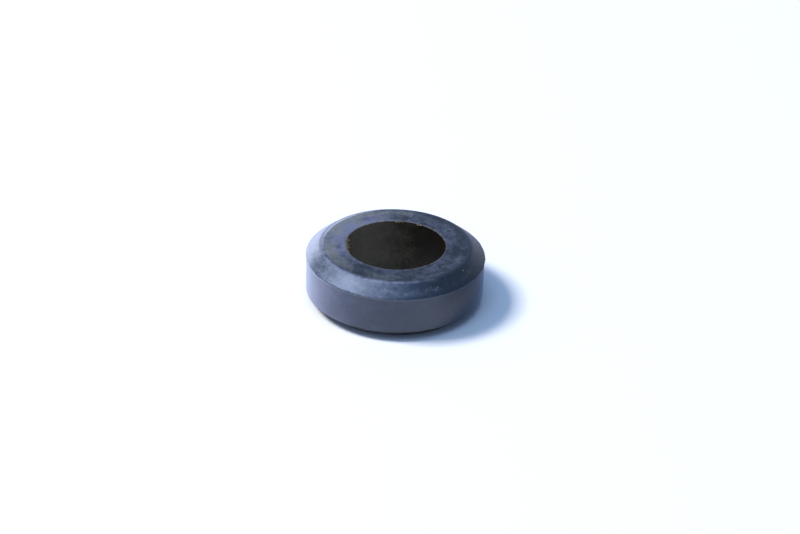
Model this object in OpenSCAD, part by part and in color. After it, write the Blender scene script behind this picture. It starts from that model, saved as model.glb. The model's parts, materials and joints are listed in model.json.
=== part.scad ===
// Moulded rubber sealing ring, taller than its wall is thick.
// Both ends have a flat face and a wide chamfer. The mould parts at the upper edge of the
// outer wall, where flash carries the chamfer on into a thin lip.
// Millimetres, +Z up. The origin is on the ring's axis, in the plane of the lower flat face.

/* [Ring] */
// Diameter of the outer wall
outer_d = 20; // [18:0.1:26]
// Diameter of the bore
bore_d = 11.2; // [8:0.1:12.4]
// Height from one flat face to the other
ring_h = 6.7; // [5:0.1:10]

/* [Chamfers] */
// Width of each chamfer, measured along the radius
chamfer_w = 1.45; // [0.8:0.05:1.9]
// Depth of each chamfer, measured along the axis
chamfer_h = 1.2; // [0.7:0.05:1.7]

/* [Rounded edges] */
// Radius where a flat face turns into its chamfer
face_round_r = 0.4; // [0.1:0.05:0.6]
// Radius where the lower chamfer turns into the outer wall
wall_round_r = 0.25; // [0.1:0.05:0.4]
// Radius where a flat face turns into the bore
bore_round_r = 0.15; // [0.05:0.05:0.3]

/* [Parting line] */
// Radius of the lip's nose
lip_r = 0.12; // [0.08:0.01:0.2]
// How far the lip stands out of the outer wall
lip_out = 0.07; // [0.03:0.01:0.07]

/* [Hidden] */

$fa = 3;
$fs = 0.04;

rubber_colour = [0.13, 0.14, 0.17];
// Each round on a chamfer sinks through its slope by this much, so that they meet in one edge
seam = 0.0005;

outer_r = outer_d / 2;
bore_r = bore_d / 2;
face_r = outer_r - chamfer_w;

// Slope of a chamfer, measured from its flat face
chamfer_a = atan2(chamfer_h, chamfer_w);
// Distance from a sharp corner to where its round begins
face_run = face_round_r * tan(chamfer_a / 2);
wall_run = wall_round_r * tan((90 - chamfer_a) / 2);

// Centres of the rounds on the lower end, as [radius, height]
bore_centre = [bore_r + bore_round_r, bore_round_r];
face_centre = [face_r - face_run + seam, face_round_r];
wall_centre = [outer_r - wall_round_r, chamfer_h + wall_run - seam];
// Centre of the lip's nose, which the upper chamfer runs into
lip_drop = (lip_r + (lip_out - lip_r) * sin(chamfer_a)) / cos(chamfer_a);
lip_centre = [outer_r + lip_out - lip_r + seam, ring_h - chamfer_h - lip_drop];

// The same point on the other end of the ring
function mirrored(p) = [p[0], ring_h - p[1]];

// The section with a straight cut in place of each round edge
module section_core() {
    along_chamfer = [cos(chamfer_a), sin(chamfer_a)];
    out_of_upper_chamfer = [sin(chamfer_a), cos(chamfer_a)];
    lower_end = [
        [bore_r, bore_centre[1]],
        [bore_centre[0], 0],
        [face_centre[0], 0],
        [face_r, 0] + face_run * along_chamfer,
    ];
    wall = [
        [outer_r, chamfer_h] - wall_run * along_chamfer,
        [outer_r, wall_centre[1]],
        [outer_r, lip_centre[1]],
        lip_centre - [seam, 0] + lip_r * out_of_upper_chamfer,
    ];
    upper_end = [for (i = [len(lower_end) - 1 : -1 : 0]) mirrored(lower_end[i])];
    polygon(concat(lower_end, wall, upper_end));
}

// A disc of the section at each of several centres
module discs(centres, r) {
    for (centre = centres) translate(centre) circle(r = r);
}

module ring() {
    color(rubber_colour)
        rotate_extrude() {
            section_core();
            discs([bore_centre, mirrored(bore_centre)], bore_round_r);
            discs([face_centre, mirrored(face_centre)], face_round_r);
            discs([wall_centre], wall_round_r);
            discs([lip_centre], lip_r);
        }
}

ring();
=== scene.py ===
"""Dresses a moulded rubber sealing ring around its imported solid, and sets its small studio."""

import json
import logging
import math
from dataclasses import dataclass, field, replace
from enum import Enum
from typing import Any, NamedTuple, Sequence

import bmesh
import bpy
from mathutils import Matrix, Vector


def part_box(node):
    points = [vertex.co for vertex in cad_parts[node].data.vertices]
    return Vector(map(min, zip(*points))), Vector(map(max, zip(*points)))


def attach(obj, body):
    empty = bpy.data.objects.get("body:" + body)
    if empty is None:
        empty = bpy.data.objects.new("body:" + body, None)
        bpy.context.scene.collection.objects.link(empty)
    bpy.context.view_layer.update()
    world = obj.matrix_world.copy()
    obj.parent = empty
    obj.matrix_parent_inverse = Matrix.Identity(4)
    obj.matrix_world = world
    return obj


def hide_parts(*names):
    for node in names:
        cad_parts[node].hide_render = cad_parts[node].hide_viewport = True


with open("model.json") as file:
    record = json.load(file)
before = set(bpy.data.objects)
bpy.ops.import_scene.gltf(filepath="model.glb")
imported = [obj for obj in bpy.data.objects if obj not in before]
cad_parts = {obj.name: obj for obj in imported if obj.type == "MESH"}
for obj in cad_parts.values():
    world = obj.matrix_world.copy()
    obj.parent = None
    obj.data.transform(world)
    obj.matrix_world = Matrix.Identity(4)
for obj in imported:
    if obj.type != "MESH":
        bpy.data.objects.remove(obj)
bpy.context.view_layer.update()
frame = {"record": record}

MM = 0.001
BODY = "root"
NODE = "ring"

# A face takes the finish of a mark when its points have more of the mark than this
MARKED = 0.4
# What each pattern of a bloom adds to its finish's seed
MOTTLE_SEED, STREAK_SEED, GRAIN_SEED, MOSS_SEED = 1.0, 2.0, 3.0, 5.0
# How many finer layers a noise has
SMOOTH, ROUGH, ROUGHEST = 2.0, 3.0, 4.0

log = logging.getLogger("ring")

Colour = tuple[float, float, float]
Socket = bpy.types.NodeSocket
Feed = Socket | float | Sequence[float]

WHITE: Colour = (1.0, 1.0, 1.0)
# Directions, and what keeps only the level part of a vector
ACROSS = (1.0, 0.0, 0.0)
UP = (0.0, 0.0, 1.0)
LEVEL = (1.0, 1.0, 0.0)


class Mark(Enum):
    """Point attributes of the ring's mesh. The first four choose its finish, the others shape or tint it."""

    BORE = "bore"
    BASE = "base"
    WALL = "wall"
    SLOPE = "slope"
    EDGE = "edge"
    LIP = "lip"
    FLASH = "flash"


class Span(NamedTuple):
    """A range of a value, and what its two ends are mapped to."""

    low: float
    high: float
    to_low: float = 0.0
    to_high: float = 1.0

    @property
    def metres(self) -> "Span":
        """The same span for a value in metres, where its own range is in millimetres."""
        return self._replace(low=self.low * MM, high=self.high * MM)


@dataclass(frozen=True)
class SectionPoint:
    """A point of the ring's section, in millimetres, with its marks from 0 to 1."""

    radius: float
    height: float
    marks: dict[Mark, float] = field(default_factory=dict)


class NodeGraph:
    """A node tree that is filled by short calls."""

    def __init__(self, tree: bpy.types.NodeTree) -> None:
        """Wraps a tree.

        Args:
            tree: The tree that the nodes go in.
        """
        self.tree = tree

    def node(self, kind: str, **settings: Any) -> bpy.types.Node:
        """Adds a node.

        Args:
            kind: The node's type name.
            **settings: Properties of the node.

        Returns:
            The new node.
        """
        made = self.tree.nodes.new(kind)
        for name, value in settings.items():
            setattr(made, name, value)
        return made

    def feed(self, node: bpy.types.Node, **inputs: Any) -> bpy.types.Node:
        """Links or sets a node's inputs, where an underscore stands for a space in a name.

        Args:
            node: The node to feed.
            **inputs: A socket to link, or a value to set, for each input's name.

        Returns:
            The same node.
        """
        for name, value in inputs.items():
            self.plug(node.inputs[name.replace("_", " ")], value)
        return node

    def plug(self, socket: Socket, value: Any) -> None:
        """Links a socket to another one, or sets its value.

        Args:
            socket: The input socket.
            value: The other socket, or the value.
        """
        if isinstance(value, Socket):
            self.tree.links.new(value, socket)
        else:
            socket.default_value = value

    @staticmethod
    def socket(sockets: Any, identifier: str) -> Socket:
        """Finds the one of a node's sockets that has an identifier."""
        return next(item for item in sockets if item.identifier == identifier)

    def math(self, operation: str, *values: Feed) -> Socket:
        """Adds a Math node.

        Args:
            operation: The operation's name.
            *values: A socket or a number for each input, in order.

        Returns:
            The result's socket.
        """
        made = self.node("ShaderNodeMath", operation=operation)
        for socket, value in zip(made.inputs, values):
            self.plug(socket, value)
        return made.outputs[0]

    def vector(self, operation: str, *values: Feed, scale: Feed | None = None) -> Socket:
        """Adds a Vector Math node.

        Args:
            operation: The operation's name.
            *values: A socket or three numbers for each vector input, in order.
            scale: A socket or a number for the Scale input.

        Returns:
            The result's socket, a number for a dot product or a length.
        """
        made = self.node("ShaderNodeVectorMath", operation=operation)
        for socket, value in zip(made.inputs, values):
            self.plug(socket, value)
        if scale is not None:
            self.plug(made.inputs["Scale"], scale)
        return made.outputs["Value" if operation in ("DOT_PRODUCT", "LENGTH") else "Vector"]

    def noise(self, position: Socket, per_mm: float, seed: Feed, detail: float = SMOOTH) -> Socket:
        """Adds smooth noise over a position.

        Args:
            position: The socket of the position, in metres.
            per_mm: How many features a millimetre holds.
            seed: The seed, as a number or a socket.
            detail: How many finer layers are added.

        Returns:
            The noise's socket, from 0 to 1.
        """
        made = self.node("ShaderNodeTexNoise", noise_dimensions="4D")
        return self.feed(made, Vector=position, W=seed, Scale=per_mm / MM, Detail=detail).outputs[0]

    def blend(self, share: Socket, first: Feed, second: Feed) -> Socket:
        """Mixes two colours.

        Args:
            share: The socket of the second colour's share, from 0 to 1.
            first: The first colour, as a socket or three numbers.
            second: The second colour.

        Returns:
            The mixed colour's socket.
        """
        made = self.node("ShaderNodeMix", data_type="RGBA")
        for name, value in {"Factor_Float": share, "A_Color": first, "B_Color": second}.items():
            plain = value if isinstance(value, Socket) else (*value, 1.0)
            self.plug(self.socket(made.inputs, name), plain)
        return self.socket(made.outputs, "Result_Color")

    def ramp(self, value: Socket, span: Span) -> Socket:
        """Maps a value smoothly along a span, and holds it at both ends.

        Args:
            value: The socket of the value.
            span: Its range, and what the ends of the range give.

        Returns:
            The result's socket.
        """
        made = self.node("ShaderNodeMapRange", interpolation_type="SMOOTHSTEP")
        names = ("From_Min", "From_Max", "To_Min", "To_Max")
        return self.feed(made, Value=value, **dict(zip(names, span))).outputs[0]


class GeometryGraph(NodeGraph):
    """The nodes of a Geometry Nodes tree."""

    def read(self, which: Mark) -> Socket:
        """Reads one of the mesh's marks."""
        named = self.node("GeometryNodeInputNamedAttribute", data_type="FLOAT")
        return self.feed(named, Name=which.value).outputs[0]

    def random(self, low: float, high: float, seed: Feed) -> Socket:
        """Draws a number for each point.

        Args:
            low: The least number.
            high: The greatest number.
            seed: The seed, as a number or a socket.

        Returns:
            The number's socket.
        """
        made = self.node("FunctionNodeRandomValue", data_type="FLOAT")
        for name, value in {"Min_001": low, "Max_001": high, "Seed": seed}.items():
            self.plug(self.socket(made.inputs, name), value)
        return self.socket(made.outputs, "Value_001")

    def scattered(self, surface: Socket, density: Feed, seed: Feed, thing: Socket, least: float) -> Socket:
        """Lays copies of a thing on a surface, each turned and sized at random.

        Args:
            surface: The socket of the surface.
            density: How many lie on a square metre, as a number or a socket.
            seed: The seed, as a number or a socket.
            thing: The socket of the thing, which lies flat.
            least: The smallest size, as a share of the full one.

        Returns:
            The socket of all copies.
        """
        spots = self.node("GeometryNodeDistributePointsOnFaces", distribute_method="RANDOM")
        self.feed(spots, Mesh=surface, Density=density, Seed=seed)
        spin = self.feed(self.node("ShaderNodeCombineXYZ"), Z=self.random(0.0, math.tau, seed))
        turned = self.feed(self.node("FunctionNodeEulerToRotation"), Euler=spin.outputs[0])
        rotation = self.node("FunctionNodeRotateRotation", rotation_space="LOCAL")
        self.feed(rotation, Rotation=spots.outputs["Rotation"], Rotate_By=turned.outputs[0])
        copies = self.node("GeometryNodeInstanceOnPoints")
        self.feed(copies, Points=spots.outputs["Points"], Instance=thing, Rotation=rotation.outputs[0])
        self.plug(copies.inputs["Scale"], self.random(least, 1.0, seed))
        return copies.outputs[0]


class MaterialGraph(NodeGraph):
    """The nodes of a new material, around its one shader."""

    def __init__(self, material: bpy.types.Material) -> None:
        """Wraps a material.

        Args:
            material: The material, with Blender's own shader in it.
        """
        super().__init__(material.node_tree)
        self.material = material
        self.shell = material.node_tree.nodes["Principled BSDF"]

    def mark(self, which: Mark) -> Socket:
        """Reads one of the mesh's marks."""
        made = self.node("ShaderNodeAttribute", attribute_name=which.value)
        return made.outputs["Fac"]


def new_material(name: str) -> MaterialGraph:
    """Makes a material.

    Args:
        name: Its name.

    Returns:
        Its nodes.
    """
    material = bpy.data.materials.new(name)
    material.use_nodes = True
    return MaterialGraph(material)


def named_inputs(tree: bpy.types.NodeTree, inputs: dict[str, tuple[str, Any]]) -> bpy.types.Node:
    """Gives a Geometry Nodes tree its geometry output and its named inputs.

    Args:
        tree: The tree.
        inputs: Each input's socket type and default, by name.

    Returns:
        The Group Input node.
    """
    tree.interface.new_socket("Geometry", in_out="OUTPUT", socket_type="NodeSocketGeometry")
    tree.interface.new_socket("Geometry", in_out="INPUT", socket_type="NodeSocketGeometry")
    for name, (kind, default) in inputs.items():
        socket = tree.interface.new_socket(name, in_out="INPUT", socket_type=kind)
        if default is not None:
            socket.default_value = default
    return tree.nodes.new("NodeGroupInput")


def placed(name: str, data: Any) -> bpy.types.Object:
    """Puts a mesh, a light or a camera in the scene.

    Args:
        name: The new object's name.
        data: What the object holds.

    Returns:
        The object.
    """
    piece = bpy.data.objects.new(name, data)
    bpy.context.scene.collection.objects.link(piece)
    return piece


def towards(azimuth: float) -> Vector:
    """The level unit vector towards an azimuth in degrees, with 0 at the front and 90 at the right."""
    turned = math.radians(azimuth)
    return Vector((math.sin(turned), -math.cos(turned), 0.0))


def grown(
    base: bpy.types.Object, tree: bpy.types.NodeTree, values: dict[str, Any], name: str
) -> bpy.types.Object:
    """Runs a Geometry Nodes tree on an object and keeps the result as a plain mesh.

    Args:
        base: The object that the tree starts from, which is removed.
        tree: The tree.
        values: The values of its inputs, by name.
        name: The new piece's name.

    Returns:
        The new piece, at the origin, with no modifier.
    """
    modifier = base.modifiers.new(tree.name, "NODES")
    modifier.node_group = tree
    for item in tree.interface.items_tree:
        if item.in_out == "INPUT" and item.name in values:
            modifier[item.identifier] = values[item.name]
    depsgraph = bpy.context.evaluated_depsgraph_get()
    mesh = bpy.data.meshes.new_from_object(base.evaluated_get(depsgraph), depsgraph=depsgraph)
    base.modifiers.remove(modifier)
    bpy.data.objects.remove(base)
    mesh.name = name
    return placed(name, mesh)


def finish_tree(
    graph: GeometryGraph,
    geometry: Socket,
    material: Socket,
    marked: dict[Mark, Socket] | None = None,
) -> None:
    """Ends a Geometry Nodes tree in smooth, real faces with their materials.

    Args:
        graph: The tree.
        geometry: The socket of what was made.
        material: The socket of its material.
        marked: The sockets of other materials, by the mark of the faces that take them.
    """
    smooth = graph.feed(graph.node("GeometryNodeSetShadeSmooth"), Geometry=geometry)
    real = graph.feed(graph.node("GeometryNodeRealizeInstances"), Geometry=smooth.outputs[0])
    dressed = graph.feed(graph.node("GeometryNodeSetMaterial"), Geometry=real.outputs[0], Material=material)
    for mark, other in (marked or {}).items():
        chosen = graph.math("GREATER_THAN", graph.read(mark), MARKED)
        again = graph.node("GeometryNodeSetMaterial")
        dressed = graph.feed(again, Geometry=dressed.outputs[0], Selection=chosen, Material=other)
    graph.feed(graph.node("NodeGroupOutput"), Geometry=dressed.outputs[0])


def facing_out(mesh: bpy.types.Mesh) -> None:
    """Turns a closed mesh's faces outwards.

    Args:
        mesh: The mesh.
    """
    shell = bmesh.new()
    shell.from_mesh(mesh)
    if shell.calc_volume(signed=True) < 0:
        bmesh.ops.reverse_faces(shell, faces=shell.faces)
    shell.to_mesh(mesh)
    shell.free()


@dataclass(frozen=True)
class RingSection:
    """The ring's closed section. Sizes are in millimetres, angles in degrees.

    Angles are measured in the section's plane, from straight outwards towards up. The undercut says
    how far below its centre the wall's lower round turns to the base finish, the painted shade under
    the ring, as a share of the round's radius.
    """

    outer_r: float
    bore_r: float
    height: float
    chamfer_w: float = 1.5
    chamfer_h: float = 1.2
    face_round: float = 0.7
    wall_round: float = 0.25
    rim_round: float = 0.15
    lip_r: float = 0.12
    lip_out: float = 0.07
    flash_angle: float = 150.0
    flash_spread: float = 12.0
    flash_out: float = 0.03
    undercut: float = 1 / 3
    step: float = 0.17
    least_steps: int = 2
    arc_step: float = 12.0
    least_arc_steps: int = 4

    def line(
        self, start: Sequence[float], end: Sequence[float], marks: dict[Mark, float] | None = None
    ) -> list[SectionPoint]:
        """Points along a straight stretch, without its ends.

        Args:
            start: Where it starts, as radius and height.
            end: Where it ends.
            marks: The marks of its points.

        Returns:
            The points in order.
        """
        count = max(self.least_steps, round(math.dist(start, end) / self.step))
        shares = [i / count for i in range(1, count)]
        places = [[a + (b - a) * share for a, b in zip(start, end)] for share in shares]
        return [SectionPoint(*place, marks or {}) for place in places]

    def arc(
        self,
        centre: Sequence[float],
        radius: float,
        start: float,
        end: float,
        peak: Mark | None = Mark.EDGE,
        marks: dict[Mark, float] | None = None,
    ) -> list[SectionPoint]:
        """Points along a round edge, with its ends.

        Args:
            centre: The centre, as radius and height.
            radius: The round's radius.
            start: The angle where it starts.
            end: The angle where it ends.
            peak: The mark that rises towards the middle of the round.
            marks: Other marks of its points.

        Returns:
            The points in order.
        """
        count = max(self.least_arc_steps, round(abs(end - start) / self.arc_step))
        points = []
        for i in range(count + 1):
            angle = math.radians(start + (end - start) * i / count)
            place = (centre[0] + radius * math.cos(angle), centre[1] + radius * math.sin(angle))
            rising = {peak: math.sin(math.pi * i / count)} if peak else {}
            points.append(SectionPoint(*place, rising | (marks or {})))
        return points

    def mirrored(self, place: Sequence[float]) -> tuple[float, float]:
        """The same place on the other end of the ring."""
        return place[0], self.height - place[1]

    def flash_fin(self, centre: Sequence[float]) -> list[SectionPoint]:
        """Points of the thin fin of flash on the upper rim, from its upper to its lower root.

        Args:
            centre: The centre of the rim's round.

        Returns:
            The points in order.
        """

        def at(side: float, share: float) -> SectionPoint:
            """Places a point of the fin.

            Args:
                side: -1 for its upper side, 1 for its lower side.
                share: How far out it is, from 0 at the root to 1 at the tip.

            Returns:
                The point.
            """
            turned = math.radians(self.flash_angle + side * self.flash_spread * (1.0 - share))
            out = self.rim_round + self.flash_out * share
            place = (centre[0] + out * math.cos(turned), centre[1] + out * math.sin(turned))
            return SectionPoint(*place, {Mark.FLASH: share, Mark.BORE: 1.0})

        return [at(-1.0, share) for share in (0.0, 0.5, 1.0)] + [at(1.0, share) for share in (0.5, 0.0)]

    def outline(self) -> list[SectionPoint]:
        """Lays out the whole section.

        Returns:
            Its points, once round it, with the rubber on the left.
        """
        slope_turn = math.atan2(self.chamfer_h, self.chamfer_w)
        slope = math.degrees(slope_turn)
        face_r = self.outer_r - self.chamfer_w
        face_run = self.face_round * math.tan(slope_turn / 2)
        wall_run = self.wall_round * math.tan((math.pi / 2 - slope_turn) / 2)
        lip_in = self.lip_r - self.lip_out
        lip_drop = (self.lip_r - lip_in * math.sin(slope_turn)) / math.cos(slope_turn)
        rim = (self.bore_r + self.rim_round, self.rim_round)
        face = (face_r - face_run, self.face_round)
        wall = (self.outer_r - self.wall_round, self.chamfer_h + wall_run)
        lip = (self.outer_r - lip_in, self.height - self.chamfer_h - lip_drop)
        rim_top, face_top = self.mirrored(rim), self.mirrored(face)

        bare, under, walled = {Mark.BORE: 1.0}, {Mark.BASE: 1.0}, {Mark.WALL: 1.0}
        lower_rim = self.arc(rim, self.rim_round, 180.0, 270.0, None, bare)
        lower_face = self.arc(face, self.face_round, 270.0, 270.0 + slope, None, under)
        lower_wall = self.arc(wall, self.wall_round, 270.0 + slope, 360.0, None)
        # The round's lower part takes the base finish, painted shade under the ring
        wall_foot = wall[1] - self.wall_round * self.undercut
        lower_wall = [replace(p, marks=under if p.height < wall_foot else walled) for p in lower_wall]
        lip_root = -math.degrees(math.acos(lip_in / self.lip_r))
        sloped = {Mark.SLOPE: 1.0}
        upper_lip = self.arc(lip, self.lip_r, lip_root, 90.0 - slope, Mark.LIP, sloped)
        upper_face = self.arc(face_top, self.face_round, 90.0 - slope, 90.0, marks=sloped)
        fin_top, fin_foot = self.flash_angle - self.flash_spread, self.flash_angle + self.flash_spread
        rim_before = self.arc(rim_top, self.rim_round, 90.0, fin_top)
        rim_after = self.arc(rim_top, self.rim_round, fin_foot, 180.0, None, bare)

        stretches = [lower_rim, lower_face, lower_wall, upper_lip, upper_face, rim_before]
        carried = [under, under, walled, sloped, None]
        points: list[SectionPoint] = []
        for before, after, marks in zip(stretches, stretches[1:], carried):
            points += before + self.between(before, after, marks)
        points += rim_before[:-1] + self.flash_fin(rim_top) + rim_after[1:]
        return points + self.between(rim_after, lower_rim, bare)

    def between(
        self,
        before: Sequence[SectionPoint],
        after: Sequence[SectionPoint],
        marks: dict[Mark, float] | None = None,
    ) -> list[SectionPoint]:
        """Points of the straight stretch that joins two rounds.

        Args:
            before: The round that it leaves.
            after: The round that it reaches.
            marks: The marks of its points.

        Returns:
            The points in order.
        """
        start, end = before[-1], after[0]
        return self.line((start.radius, start.height), (end.radius, end.height), marks)


@dataclass(frozen=True)
class RubberFinish:
    """Black rubber under a thin grey bloom that has come out in patches.

    Colours are linear. Patches, mottle, streaks, grain and moss_waves are features per millimetre,
    and lengths are in millimetres. The bloom's cover goes from 0 to 1. Each spread says how far its
    pattern moves the cover, drift raises it over light_drift_run towards light_drift_azimuth, and fade lowers
    it over shade_run towards the right. The rise is painted light on the side that the lamps light, on
    the upper face partly real bloom, and the fall is painted shade. Bloom turns to the moss colour
    over moss_reach from the axis and moss_rise above the floor, on a border that moss_wander moves,
    and thins out over shade_run under the painted shade. Rounds turn to the edge colour where the
    mottle is past edge_rub_and_glint, and less so over shade_run: partly worn rounds, partly a painted
    highlight.
    The flash mark brings the flash colour over flash_root, and flash is frayed where the grain is
    past fray.
    """

    name: str = "bloomed_rubber"
    deep: Colour = (0.008, 0.014, 0.022)
    bloom: Colour = (0.152, 0.168, 0.246)
    moss: Colour = (0.185, 0.196, 0.190)
    edge: Colour = (0.175, 0.19, 0.255)
    flash: Colour = (0.045, 0.025, 0.010)
    frayed: Colour = (0.34, 0.27, 0.17)
    cover: float = 0.07
    patches: float = 0.33
    patch_spread: float = 1.2
    mottle: float = 1.5
    mottle_spread: float = 1.1
    streaks: float = 1.0
    streak_spread: float = 1.3
    light_drift_azimuth: float = -120.0
    light_drift: float = 0.98
    light_drift_run: Span = Span(-0.5, 10.0)
    shade_fade: float = 0.0
    shade_run: Span = Span(-2.0, 9.0)
    cover_range: Span = Span(-0.25, 1.05)
    hoop_r: float = 1.8
    moss_waves: float = 0.6
    moss_wander: float = 8.0
    moss_reach: Span = Span(9.8, 12.2)
    moss_rise: Span = Span(6.1, 6.6)
    edge_rub_and_glint: Span = Span(0.3, 0.65, 0.35, 1.0)
    fray: Span = Span(0.50, 0.66)
    flash_root: Span = Span(0.0, 0.4)
    grain: float = 5.0
    grain_spread: float = 0.8
    grain_depth: float = 0.004
    mottle_depth: float = 0.010
    roughness: float = 0.54
    roughness_spread: float = 0.14
    gloss: float = 0.5
    gloss_tint: Colour = (0.5, 0.62, 1.0)
    sheen: float = 0.12
    sheen_roughness: float = 0.35
    sheen_tint: Colour = (0.6, 0.68, 1.0)
    coat: float = 0.2
    coat_roughness: float = 0.42
    seed: float = 3.0

    def make(self) -> bpy.types.Material:
        """Builds the finish's nodes.

        Returns:
            The material.
        """
        graph = new_material(self.name)
        place = graph.node("ShaderNodeTexCoord").outputs["Object"]
        mottle = graph.noise(place, self.mottle, self.seed + MOTTLE_SEED, detail=ROUGHEST)
        grain = graph.noise(place, self.grain, self.seed + GRAIN_SEED, detail=ROUGHEST)
        # Painted shade, which rises towards the right; what is left of it thins the moss and the edge colour
        painted_shade = graph.ramp(graph.vector("DOT_PRODUCT", place, ACROSS), self.shade_run.metres)
        unshaded = graph.math("SUBTRACT", 1.0, painted_shade)
        cover = self.covered(graph, place, mottle, grain, painted_shade)
        bloom = graph.blend(self.mossed(graph, place, unshaded), self.bloom, self.moss)
        colour = graph.blend(cover, self.deep, bloom)
        # The edge colour is partly worn rounds and partly a painted highlight, which fades towards the right
        rubbed_and_lit = graph.math("MULTIPLY", graph.ramp(mottle, self.edge_rub_and_glint), unshaded)
        edge = graph.math("MULTIPLY", graph.mark(Mark.EDGE), rubbed_and_lit)
        colour = graph.blend(edge, colour, self.edge)
        flash = graph.blend(graph.ramp(grain, self.fray), self.flash, self.frayed)
        colour = graph.blend(graph.ramp(graph.mark(Mark.FLASH), self.flash_root), colour, flash)

        least_rough = self.roughness - self.roughness_spread / 2
        graph.feed(
            graph.shell,
            Base_Color=colour,
            Roughness=graph.math("MULTIPLY_ADD", cover, self.roughness_spread, least_rough),
            Specular_IOR_Level=self.gloss,
            Specular_Tint=(*self.gloss_tint, 1.0),
            Sheen_Weight=self.sheen,
            Sheen_Roughness=self.sheen_roughness,
            Sheen_Tint=(*self.sheen_tint, 1.0),
            Coat_Weight=self.coat,
            Coat_Roughness=self.coat_roughness,
        )
        coarse = graph.node("ShaderNodeBump")
        graph.feed(coarse, Height=mottle, Distance=self.mottle_depth * MM, Strength=1.0)
        fine = graph.node("ShaderNodeBump")
        graph.feed(fine, Height=grain, Distance=self.grain_depth * MM, Strength=1.0, Normal=coarse.outputs[0])
        graph.feed(graph.shell, Normal=fine.outputs[0])
        return graph.material

    def mossed(self, graph: NodeGraph, place: Socket, unshaded: Socket) -> Socket:
        """Works out where the bloom turns greenish, which is on the outer part of the upper face.

        Args:
            graph: The material's nodes.
            place: The socket of the position.
            unshaded: The socket that falls to 0 towards the right, under the painted shade.

        Returns:
            The share of the greenish bloom, from 0 to 1.
        """
        from_axis = graph.vector("LENGTH", graph.vector("MULTIPLY", place, LEVEL))
        wave = graph.noise(place, self.moss_waves, self.seed + MOSS_SEED, detail=ROUGH)
        reach = graph.math("MULTIPLY_ADD", wave, self.moss_wander * MM, from_axis)
        outer = graph.ramp(reach, self.moss_reach.metres)
        upper = graph.ramp(graph.vector("DOT_PRODUCT", place, UP), self.moss_rise.metres)
        return graph.math("MULTIPLY", graph.math("MULTIPLY", outer, upper), unshaded)

    def covered(
        self,
        graph: NodeGraph,
        place: Socket,
        mottle: Socket,
        grain: Socket,
        painted_shade: Socket,
    ) -> Socket:
        """Works out how thick the bloom lies, with painted light and painted shade in it.

        Args:
            graph: The material's nodes.
            place: The socket of the position.
            mottle: The socket of the small patches.
            grain: The socket of the finest pattern.
            painted_shade: The socket of the painted shade, which rises to 1 towards the right.

        Returns:
            The cover's socket, from 0 to 1.
        """
        patches = graph.noise(place, self.patches, self.seed, detail=ROUGH)
        hoops = self.round_the_axis(graph, place)
        streaks = graph.noise(hoops, self.streaks, self.seed + STREAK_SEED, detail=ROUGHEST)
        # Painted light: the cover rises towards the side that the lamps light
        along = graph.vector("DOT_PRODUCT", place, towards(self.light_drift_azimuth))
        spreads = (self.patch_spread, self.mottle_spread, self.streak_spread, self.grain_spread)
        least = self.cover - sum(spreads) / 2
        light_drift = self.light_drift_run.metres._replace(to_low=least, to_high=least + self.light_drift)
        amount = graph.ramp(along, light_drift)
        for pattern, spread in zip((patches, mottle, streaks, grain), spreads):
            amount = graph.math("MULTIPLY_ADD", pattern, spread, amount)
        # Painted shade lowers the cover towards the right
        return graph.ramp(graph.math("MULTIPLY_ADD", painted_shade, -self.shade_fade, amount), self.cover_range)

    def round_the_axis(self, graph: NodeGraph, place: Socket) -> Socket:
        """Stretches a position round the axis, so that noise over it runs in hoops.

        Args:
            graph: The material's nodes.
            place: The socket of the position.

        Returns:
            The stretched position's socket.
        """
        level = graph.vector("MULTIPLY", place, LEVEL)
        turn = graph.vector("SCALE", graph.vector("NORMALIZE", level), scale=self.hoop_r * MM)
        height = graph.vector("DOT_PRODUCT", place, UP)
        down_slope = graph.math("SUBTRACT", graph.vector("LENGTH", level), height)
        return graph.vector("ADD", turn, graph.vector("SCALE", UP, scale=down_slope))


# The upper face, with patches of bloom, paler towards the left-back: partly bloom, partly painted light
BLOOMED = RubberFinish()
# The upper chamfer, polished, with a pale bloom on its far left that is partly bloom and partly a painted
# reflection of the white floor, and painted shade towards the right
POLISHED = replace(
    BLOOMED,
    name="polished_rubber",
    bloom=(0.49, 0.51, 0.60),
    moss=(0.49, 0.51, 0.60),
    cover=0.0,
    light_drift=1.03,
    light_drift_run=Span(4.6, 10.0),
    shade_fade=0.26,
    shade_run=Span(-1.0, 6.0),
    patch_spread=0.4,
    mottle_spread=0.67,
    streak_spread=0.6,
    grain_spread=0.33,
    mottle_depth=0.014,
    gloss=0.95,
    gloss_tint=(0.44, 0.62, 1.0),
    sheen=0.3,
    coat=0.35,
    coat_roughness=0.48,
)
# The outer wall, smooth from rubbing, with painted light on its left and painted shade on its right
RUBBED = replace(
    BLOOMED,
    name="rubbed_rubber",
    bloom=(0.180, 0.184, 0.300),
    moss=(0.180, 0.184, 0.300),
    cover=-0.08,
    patch_spread=0.45,
    mottle_spread=0.30,
    streak_spread=0.25,
    light_drift=0.66,
    light_drift_run=Span(-4.0, 8.0),
    shade_fade=0.16,
    grain_spread=0.30,
    grain_depth=0.002,
    mottle_depth=0.003,
    roughness=0.36,
    gloss=0.45,
    sheen=0.7,
    coat=0.9,
    coat_roughness=0.22,
)
# The bore and its rims, with hardly any bloom and a brown tinge; painted light makes the bore paler on the
# left
BARE = replace(
    BLOOMED,
    name="bare_rubber",
    deep=(0.006, 0.004, 0.002),
    bloom=(0.185, 0.148, 0.094),
    moss=(0.170, 0.138, 0.085),
    cover=-0.4,
    patch_spread=0.3,
    mottle_spread=0.5,
    streak_spread=0.5,
    grain_spread=0.6,
    light_drift_azimuth=-90.0,
    light_drift=1.3,
    light_drift_run=Span(-6.0, 6.0),
    gloss=0.3,
    gloss_tint=(1.0, 0.95, 0.85),
    sheen=0.0,
    coat=0.0,
)
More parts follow.
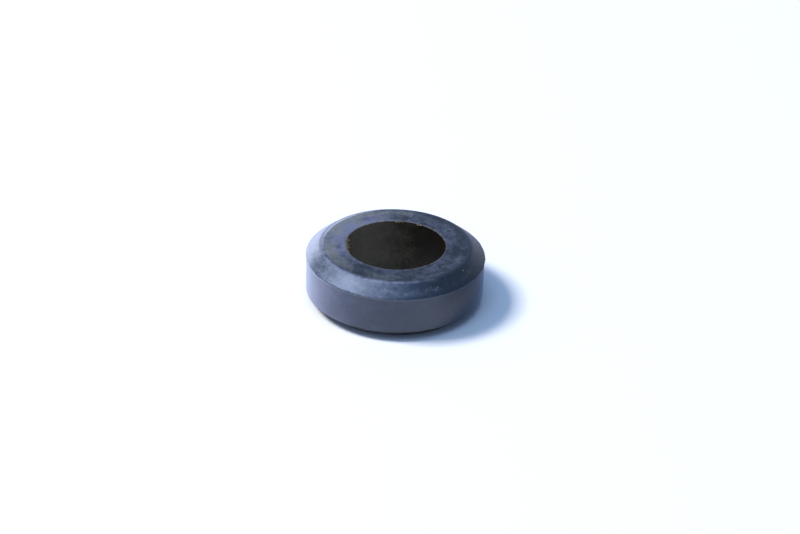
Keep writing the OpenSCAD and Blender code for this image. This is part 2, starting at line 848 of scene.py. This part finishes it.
# The lower chamfer and the lower face, darker than the upper chamfer: painted shade under the ring
SHADED = replace(
    BARE,
    name="shaded_rubber",
    bloom=(0.125, 0.124, 0.140),
    moss=(0.125, 0.124, 0.140),
    gloss=0.12,
    cover=0.1,
    light_drift=0.1,
    patch_spread=0.8,
    mottle_spread=0.6,
)


@dataclass(frozen=True)
class Tear:
    """A spot on the bore's upper rim where torn flash stands out.

    The azimuth and the half width are in degrees, with 0 at the front and 90 at the right. The
    length is in millimetres.
    """

    azimuth: float
    half_width: float
    length: float


@dataclass
class MouldedRing:
    """The ring as one closed skin: its section carried once round the axis, then worn.

    Lengths are in millimetres, and waves are features per millimetre. Each run is the range of its
    waves over which the lip or the flash goes from least to most.
    """

    section: RingSection
    faces: RubberFinish = BLOOMED
    slope: RubberFinish = POLISHED
    wall: RubberFinish = RUBBED
    bore: RubberFinish = BARE
    base: RubberFinish = SHADED
    turns: int = 480
    rail_r: float = 1.0
    seed: float = 7.0
    swell: float = 0.02
    swell_waves: float = 0.16
    peel: float = 0.004
    peel_waves: float = 1.4
    ragged_lip: float = 0.04
    lip_waves: float = 1.1
    lip_run: Span = Span(0.35, 0.75, -0.5, 1.0)
    ragged_flash: float = 0.05
    flash_waves: float = 4.0
    flash_run: Span = Span(0.45, 0.8)
    flash_dip: float = 0.35
    tear_run: Span = Span(0.3, 0.65, 0.3, 1.0)
    tears: Sequence[Tear] = (
        Tear(-97.0, 8.0, 0.6),
        Tear(-85.0, 9.0, 0.95),
        Tear(-73.0, 7.0, 0.5),
        Tear(177.0, 9.0, 0.28),
        Tear(153.0, 5.0, 0.3),
        Tear(35.0, 5.0, 0.12),
    )

    @property
    def finishes(self) -> dict[str, RubberFinish]:
        """The finishes, by the names of the tree's inputs that take them."""
        chosen = (self.faces, self.slope, self.wall, self.bore, self.base)
        return dict(zip(("Faces", "Slope", "Wall", "Bore", "Base"), chosen))

    def section_object(self) -> bpy.types.Object:
        """Lays the section out flat, as a closed line that carries its marks.

        It lies head down, because the rail's frame turns it over.

        Returns:
            The line's object.
        """
        points = self.section.outline()[::-1]
        places = [((p.radius - self.rail_r) * MM, -p.height * MM, 0.0) for p in points]
        edges = [(i, (i + 1) % len(points)) for i in range(len(points))]
        mesh = bpy.data.meshes.new("ring_section")
        mesh.from_pydata(places, edges, [])
        for mark in Mark:
            values = [p.marks.get(mark, 0.0) for p in points]
            mesh.attributes.new(mark.value, "FLOAT", "POINT").data.foreach_set("value", values)
        return placed("ring_section", mesh)

    def tree(self) -> bpy.types.NodeTree:
        """Makes the tree that carries the section round the axis and wears the skin.

        Returns:
            The tree.
        """
        tree = bpy.data.node_groups.new("ring_tree", "GeometryNodeTree")
        lengths = {
            "Rail Radius": self.rail_r,
            "Swell": self.swell,
            "Peel": self.peel,
            "Ragged Lip": self.ragged_lip,
            "Ragged Flash": self.ragged_flash,
        }
        kinds = {"Turns": ("NodeSocketInt", self.turns), "Seed": ("NodeSocketFloat", self.seed)}
        kinds |= {name: ("NodeSocketFloat", length * MM) for name, length in lengths.items()}
        kinds |= {name: ("NodeSocketMaterial", None) for name in self.finishes}
        inputs = named_inputs(tree, kinds).outputs
        graph = GeometryGraph(tree)
        section = graph.feed(graph.node("GeometryNodeMeshToCurve"), Mesh=inputs["Geometry"])
        rail = graph.node("GeometryNodeCurvePrimitiveCircle", mode="RADIUS")
        graph.feed(rail, Resolution=inputs["Turns"], Radius=inputs["Rail Radius"])
        upright = graph.feed(graph.node("GeometryNodeSetCurveNormal", mode="Z_UP"), Curve=rail.outputs[0])
        skin = graph.node("GeometryNodeCurveToMesh")
        graph.feed(skin, Curve=upright.outputs[0], Profile_Curve=section.outputs[0])
        worn = graph.feed(graph.node("GeometryNodeSetPosition"), Geometry=skin.outputs[0])
        graph.feed(worn, Offset=self.wear(graph, inputs))
        dressed = (Mark.SLOPE, Mark.WALL, Mark.BORE, Mark.BASE)
        marked = {mark: inputs[mark.value.title()] for mark in dressed}
        finish_tree(graph, worn.outputs[0], inputs["Faces"], marked)
        return tree

    def wear(self, graph: GeometryGraph, inputs: bpy.types.NodeOutputs) -> Socket:
        """Works out how far each point of the skin is off its true place.

        Args:
            graph: The tree.
            inputs: The tree's named inputs.

        Returns:
            The offset's socket.
        """
        place = graph.node("GeometryNodeInputPosition").outputs[0]
        normal = graph.node("GeometryNodeInputNormal").outputs[0]
        outward = graph.vector("NORMALIZE", graph.vector("MULTIPLY", place, LEVEL))
        round_bore = graph.vector("SCALE", outward, scale=self.section.bore_r * MM)
        round_wall = graph.vector("SCALE", outward, scale=self.section.outer_r * MM)

        def relief(waves: float, depth: Socket, detail: float = SMOOTH) -> Socket:
            """Noise over the skin, half of it outwards and half of it inwards."""
            around_zero = graph.math("SUBTRACT", graph.noise(place, waves, inputs["Seed"], detail), 0.5)
            return graph.math("MULTIPLY", around_zero, depth)

        swell = relief(self.swell_waves, inputs["Swell"])
        peel = relief(self.peel_waves, inputs["Peel"], detail=ROUGH)
        lip_noise = graph.noise(round_wall, self.lip_waves, inputs["Seed"], detail=ROUGHEST)
        ragged = graph.math("MULTIPLY", graph.ramp(lip_noise, self.lip_run), inputs["Ragged Lip"])
        lip = graph.math("MULTIPLY", ragged, graph.read(Mark.LIP))
        lift = graph.math("ADD", graph.math("ADD", swell, peel), lip)
        along_normal = graph.vector("SCALE", normal, scale=lift)

        rag = graph.noise(round_bore, self.flash_waves, inputs["Seed"], detail=ROUGHEST)
        length = graph.math("MULTIPLY", graph.ramp(rag, self.flash_run), inputs["Ragged Flash"])
        for tear in self.tears:
            near = graph.vector("DOT_PRODUCT", outward, towards(tear.azimuth))
            within = graph.ramp(near, Span(math.cos(math.radians(tear.half_width)), 1.0))
            torn = graph.math("MULTIPLY", within, graph.ramp(rag, self.tear_run))
            length = graph.math("MULTIPLY_ADD", torn, tear.length * MM, length)
        inward = graph.vector("SCALE", outward, scale=-1.0)
        dipping = graph.vector("ADD", inward, (0.0, 0.0, -self.flash_dip))
        reach = graph.math("MULTIPLY", length, graph.read(Mark.FLASH))
        return graph.vector("ADD", along_normal, graph.vector("SCALE", dipping, scale=reach))

    def build(self) -> bpy.types.Object:
        """Makes the ring.

        Returns:
            The ring's piece.
        """
        values = {"Turns": self.turns} | {name: finish.make() for name, finish in self.finishes.items()}
        piece = grown(self.section_object(), self.tree(), values, "moulded_ring")
        facing_out(piece.data)
        return piece


@dataclass(frozen=True)
class DustFinish:
    """Matt, pale dust."""

    name: str = "pale_dust"
    pale: Colour = (0.52, 0.50, 0.47)
    dull: Colour = (0.22, 0.19, 0.16)
    per_mm: float = 0.7
    pale_range: Span = Span(0.35, 0.65)
    roughness: float = 0.9
    seed: float = 5.0

    def make(self) -> bpy.types.Material:
        """Builds the finish's nodes.

        Returns:
            The material.
        """
        graph = new_material(self.name)
        place = graph.node("ShaderNodeTexCoord").outputs["Object"]
        share = graph.ramp(graph.noise(place, self.per_mm, self.seed), self.pale_range)
        colour = graph.blend(share, self.dull, self.pale)
        graph.feed(graph.shell, Base_Color=colour, Roughness=self.roughness)
        return graph.material


@dataclass
class Dust:
    """Specks and short fibres that lie on a piece, mostly where it faces up.

    Lengths are in millimetres, and specks and fibres are counts on a square millimetre that faces
    up. A hold says how upright a face's normal is where it begins to hold dust, and where it holds
    all of it. A least is the smallest size as a share of the full one.
    """

    ground: bpy.types.Object
    finish: DustFinish = DustFinish()
    specks: float = 0.24
    speck_r: float = 0.05
    speck_hold: Span = Span(-0.2, 0.6)
    speck_least: float = 0.35
    speck_rings: int = 2
    lumps: float = 0.06
    lump_waves: float = 22.0
    fibres: float = 0.014
    fibre_long: float = 0.7
    fibre_r: float = 0.012
    fibre_hold: Span = Span(0.9, 1.0)
    fibre_least: float = 0.4
    fibre_hook: float = 0.3
    fibre_steps: int = 14
    fibre_sides: int = 6
    seed: int = 4

    def tree(self) -> bpy.types.NodeTree:
        """Makes the tree that scatters the dust.

        Returns:
            The tree.
        """
        tree = bpy.data.node_groups.new("dust_tree", "GeometryNodeTree")
        inputs = named_inputs(
            tree,
            {
                "Seed": ("NodeSocketInt", self.seed),
                "Specks": ("NodeSocketFloat", self.specks / MM**2),
                "Speck Radius": ("NodeSocketFloat", self.speck_r * MM),
                "Fibres": ("NodeSocketFloat", self.fibres / MM**2),
                "Fibre Radius": ("NodeSocketFloat", self.fibre_r * MM),
                "Finish": ("NodeSocketMaterial", None),
            },
        ).outputs
        graph = GeometryGraph(tree)
        surface, seed = inputs["Geometry"], inputs["Seed"]
        normal = graph.node("GeometryNodeInputNormal").outputs[0]
        rise = graph.vector("DOT_PRODUCT", normal, UP)
        ball = graph.node("GeometryNodeMeshIcoSphere")
        graph.feed(ball, Radius=inputs["Speck Radius"], Subdivisions=self.speck_rings)
        density = graph.math("MULTIPLY", graph.ramp(rise, self.speck_hold), inputs["Specks"])
        specks = graph.scattered(surface, density, seed, ball.outputs[0], self.speck_least)
        density = graph.math("MULTIPLY", graph.ramp(rise, self.fibre_hold), inputs["Fibres"])
        fibres = graph.scattered(surface, density, seed, self.fibre(graph, inputs), self.fibre_least)
        real = graph.feed(graph.node("GeometryNodeRealizeInstances"), Geometry=specks)
        lumpy = graph.feed(graph.node("GeometryNodeSetPosition"), Geometry=real.outputs[0])
        place = graph.node("GeometryNodeInputPosition").outputs[0]
        around_zero = graph.math("SUBTRACT", graph.noise(place, self.lump_waves, seed), 0.5)
        lift = graph.math("MULTIPLY", around_zero, self.lumps * 2 * MM)
        graph.feed(lumpy, Offset=graph.vector("SCALE", normal, scale=lift))
        both = graph.node("GeometryNodeJoinGeometry")
        for part in (lumpy.outputs[0], fibres):
            tree.links.new(part, both.inputs[0])
        finish_tree(graph, both.outputs[0], inputs["Finish"])
        return tree

    def fibre(self, graph: GeometryGraph, inputs: bpy.types.NodeOutputs) -> Socket:
        """Makes one bent fibre, which lies just above the ground.

        Args:
            graph: The tree.
            inputs: The tree's named inputs.

        Returns:
            The fibre's socket.
        """
        half, rise = self.fibre_long / 2 * MM, self.fibre_r * MM
        bend = graph.node("GeometryNodeCurveQuadraticBezier")
        graph.feed(bend, Start=(-half, 0.0, rise), Middle=(0.0, half, rise))
        graph.feed(bend, End=(half, self.fibre_hook * half, rise), Resolution=self.fibre_steps)
        hoop = graph.node("GeometryNodeCurvePrimitiveCircle", mode="RADIUS")
        graph.feed(hoop, Resolution=self.fibre_sides, Radius=inputs["Fibre Radius"])
        strand = graph.node("GeometryNodeCurveToMesh")
        graph.feed(strand, Curve=bend.outputs[0], Profile_Curve=hoop.outputs[0], Fill_Caps=True)
        return strand.outputs[0]

    def build(self) -> bpy.types.Object:
        """Makes the dust.

        Returns:
            The dust's piece.
        """
        base = placed("dust_ground", self.ground.data.copy())
        piece = grown(base, self.tree(), {"Seed": self.seed, "Finish": self.finish.make()}, "dust")
        facing_out(piece.data)
        return piece


@dataclass(frozen=True)
class Lamp:
    """A square soft light that looks at the object.

    The level is what it adds to a white floor, where 1 is white. Angles are in degrees, with an
    azimuth of 0 at the front and 90 at the right. Lengths are in metres.
    """

    name: str
    level: float
    azimuth: float
    elevation: float
    colour: Colour = WHITE
    distance: float = 1.0
    side: float = 0.6

    @property
    def power(self) -> float:
        """The power in watts that gives the level."""
        return self.level * (math.pi * self.distance) ** 2 / math.sin(math.radians(self.elevation))

    def build(self, target: Vector) -> bpy.types.Object:
        """Hangs the lamp.

        Args:
            target: The place that it looks at.

        Returns:
            The lamp's object.
        """
        raised = math.radians(self.elevation)
        back = towards(self.azimuth) * math.cos(raised) + Vector(UP) * math.sin(raised)
        light = bpy.data.lights.new(self.name, "AREA")
        light.energy = self.power
        light.color = self.colour
        light.size = self.side
        lamp = placed(self.name, light)
        lamp.location = target + back * self.distance
        lamp.rotation_euler = (-back).to_track_quat("-Z", "Y").to_euler()
        return lamp


@dataclass
class Studio:
    """The camera, the lamps, the pale floor and the white room.

    The room and the floor are darker on the far side: the room to the right, over room_run, and the
    floor along far_way, over far_run. Gloss sees the room as white up to the backdrop's height.
    Camera sizes and far_run are in millimetres, and floor_side and clip in metres.
    """

    lamps: Sequence[Lamp] = (
        Lamp(
            "key_lamp",
            level=0.74,
            azimuth=-89.0,
            elevation=53.0,
            colour=(1.0, 0.96, 0.94),
            distance=2.0,
            side=0.62,
        ),
        Lamp(
            "sky_lamp",
            level=0.22,
            azimuth=-12.0,
            elevation=69.0,
            colour=(0.46, 0.71, 1.0),
            distance=2.0,
            side=1.3,
        ),
    )
    room: Colour = (0.25, 0.36, 0.60)
    far_room: Colour = (0.13, 0.20, 0.36)
    far_gloss: Colour = (0.11, 0.13, 0.17)
    room_run: Span = Span(-0.7, 0.7)
    backdrop: Span = Span(0.05, 0.35, 1.0, 0.0)
    floor: Colour = (0.80, 0.80, 0.80)
    far_floor: Colour = (0.14, 0.14, 0.16)
    far_way: tuple[float, float, float] = (0.94, 0.34, 0.0)
    far_run: Span = Span(2.0, 17.0)
    floor_side: float = 3.0
    lens: float = 100.0
    sensor: float = 36.0
    clip: tuple[float, float] = (0.01, 10.0)
    distance: float = 250.3
    elevation: float = 29.5
    roll: float = 2.0
    aim_height: float = 3.4
    slide: tuple[float, float] = (0.56, 0.355)

    def camera(self) -> bpy.types.Object:
        """Sets the camera.

        Returns:
            The camera's object.
        """
        raised, rolled = math.radians(self.elevation), math.radians(self.roll)
        back = towards(0.0) * math.cos(raised) + Vector(UP) * math.sin(raised)
        level = Vector(ACROSS)
        upright = back.cross(level)
        right = level * math.cos(rolled) + upright * math.sin(rolled)
        above = upright * math.cos(rolled) - level * math.sin(rolled)
        place = Vector(UP) * self.aim_height + back * self.distance
        place += right * self.slide[0] + above * self.slide[1]
        lens = bpy.data.cameras.new("camera")
        lens.lens = self.lens
        lens.sensor_width = self.sensor
        lens.clip_start, lens.clip_end = self.clip
        camera = placed("camera", lens)
        turn = Matrix((right, above, back)).transposed().to_4x4()
        camera.matrix_world = Matrix.Translation(place * MM) @ turn
        bpy.context.scene.camera = camera
        return camera

    def floor_finish(self) -> bpy.types.Material:
        """Makes the floor's matt white, which throws less light back from the room's far side.

        Returns:
            The material, lifted to white where the camera sees it.
        """
        graph = new_material("floor_white")
        seen = graph.node("ShaderNodeLightPath").outputs
        place = graph.node("ShaderNodeTexCoord").outputs["Object"]
        far = graph.ramp(graph.vector("DOT_PRODUCT", place, self.far_way), self.far_run.metres)
        near = graph.blend(seen["Is Glossy Ray"], self.floor, WHITE)
        thrown = graph.blend(far, near, self.far_floor)
        colour = graph.blend(seen["Is Camera Ray"], thrown, WHITE)
        graph.feed(graph.shell, Base_Color=colour, Roughness=1.0, Specular_IOR_Level=0.0)
        return graph.material

    def ground(self, height: float) -> bpy.types.Object:
        """Lays the floor.

        Args:
            height: Where it lies, in metres.

        Returns:
            The floor's object.
        """
        half = self.floor_side / 2
        sides = ((-half, -half), (half, -half), (half, half), (-half, half))
        corners = [(*corner, height) for corner in sides]
        mesh = bpy.data.meshes.new("floor")
        mesh.from_pydata(corners, [], [(0, 1, 2, 3)])
        mesh.materials.append(self.floor_finish())
        floor = placed("floor", mesh)
        return floor

    def air(self) -> bpy.types.World:
        """Fills the room with soft light, and shows it as white.

        Returns:
            The world.
        """
        world = bpy.data.worlds.new("room")
        world.use_nodes = True
        graph = NodeGraph(world.node_tree)
        ground = world.node_tree.nodes["Background"]
        seen = graph.node("ShaderNodeLightPath").outputs
        way = graph.node("ShaderNodeTexCoord").outputs["Generated"]
        low = graph.ramp(graph.vector("DOT_PRODUCT", way, UP), self.backdrop)
        shown = graph.math("MAXIMUM", seen["Is Camera Ray"], seen["Is Transmission Ray"])
        shown = graph.math("MAXIMUM", shown, graph.math("MULTIPLY", seen["Is Glossy Ray"], low))
        leftness = graph.math("MULTIPLY", graph.vector("DOT_PRODUCT", way, ACROSS), -1.0)
        far = graph.blend(seen["Is Glossy Ray"], self.far_room, self.far_gloss)
        dim = graph.blend(graph.ramp(leftness, self.room_run), far, self.room)
        graph.feed(ground, Color=graph.blend(shown, dim, WHITE))
        bpy.context.scene.world = world
        return world

    def build(self, floor_height: float) -> None:
        """Sets up everything that isn't part of the object.

        Args:
            floor_height: Where the floor lies, in metres.
        """
        self.camera()
        self.air()
        self.ground(floor_height)
        for lamp in self.lamps:
            lamp.build(Vector(UP) * self.aim_height * MM)
            log.info("%s gives %.2f W", lamp.name, lamp.power)
        bpy.context.scene.view_settings.view_transform = "Standard"


def mount_radius(name: str) -> float:
    """The radius of one of the record's mounts, in millimetres."""
    return next(mount["dims"]["r_mm"] for mount in frame["record"]["mounts"] if mount["name"] == name)


def main() -> None:
    """Builds the ring and its studio."""
    logging.basicConfig(level=logging.INFO, format="%(name)s: %(message)s")
    low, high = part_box(NODE)
    section = RingSection(mount_radius("outer_wall"), mount_radius("bore"), (high.z - low.z) / MM)
    ring = MouldedRing(section).build()
    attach(ring, BODY)
    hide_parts(NODE)
    dust = Dust(ring).build()
    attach(dust, BODY)
    for piece in (ring, dust):
        log.info("%s has %d faces", piece.name, len(piece.data.polygons))
    Studio().build(min(vertex.co.z for vertex in ring.data.vertices))


if __name__ == "__main__":
    main()
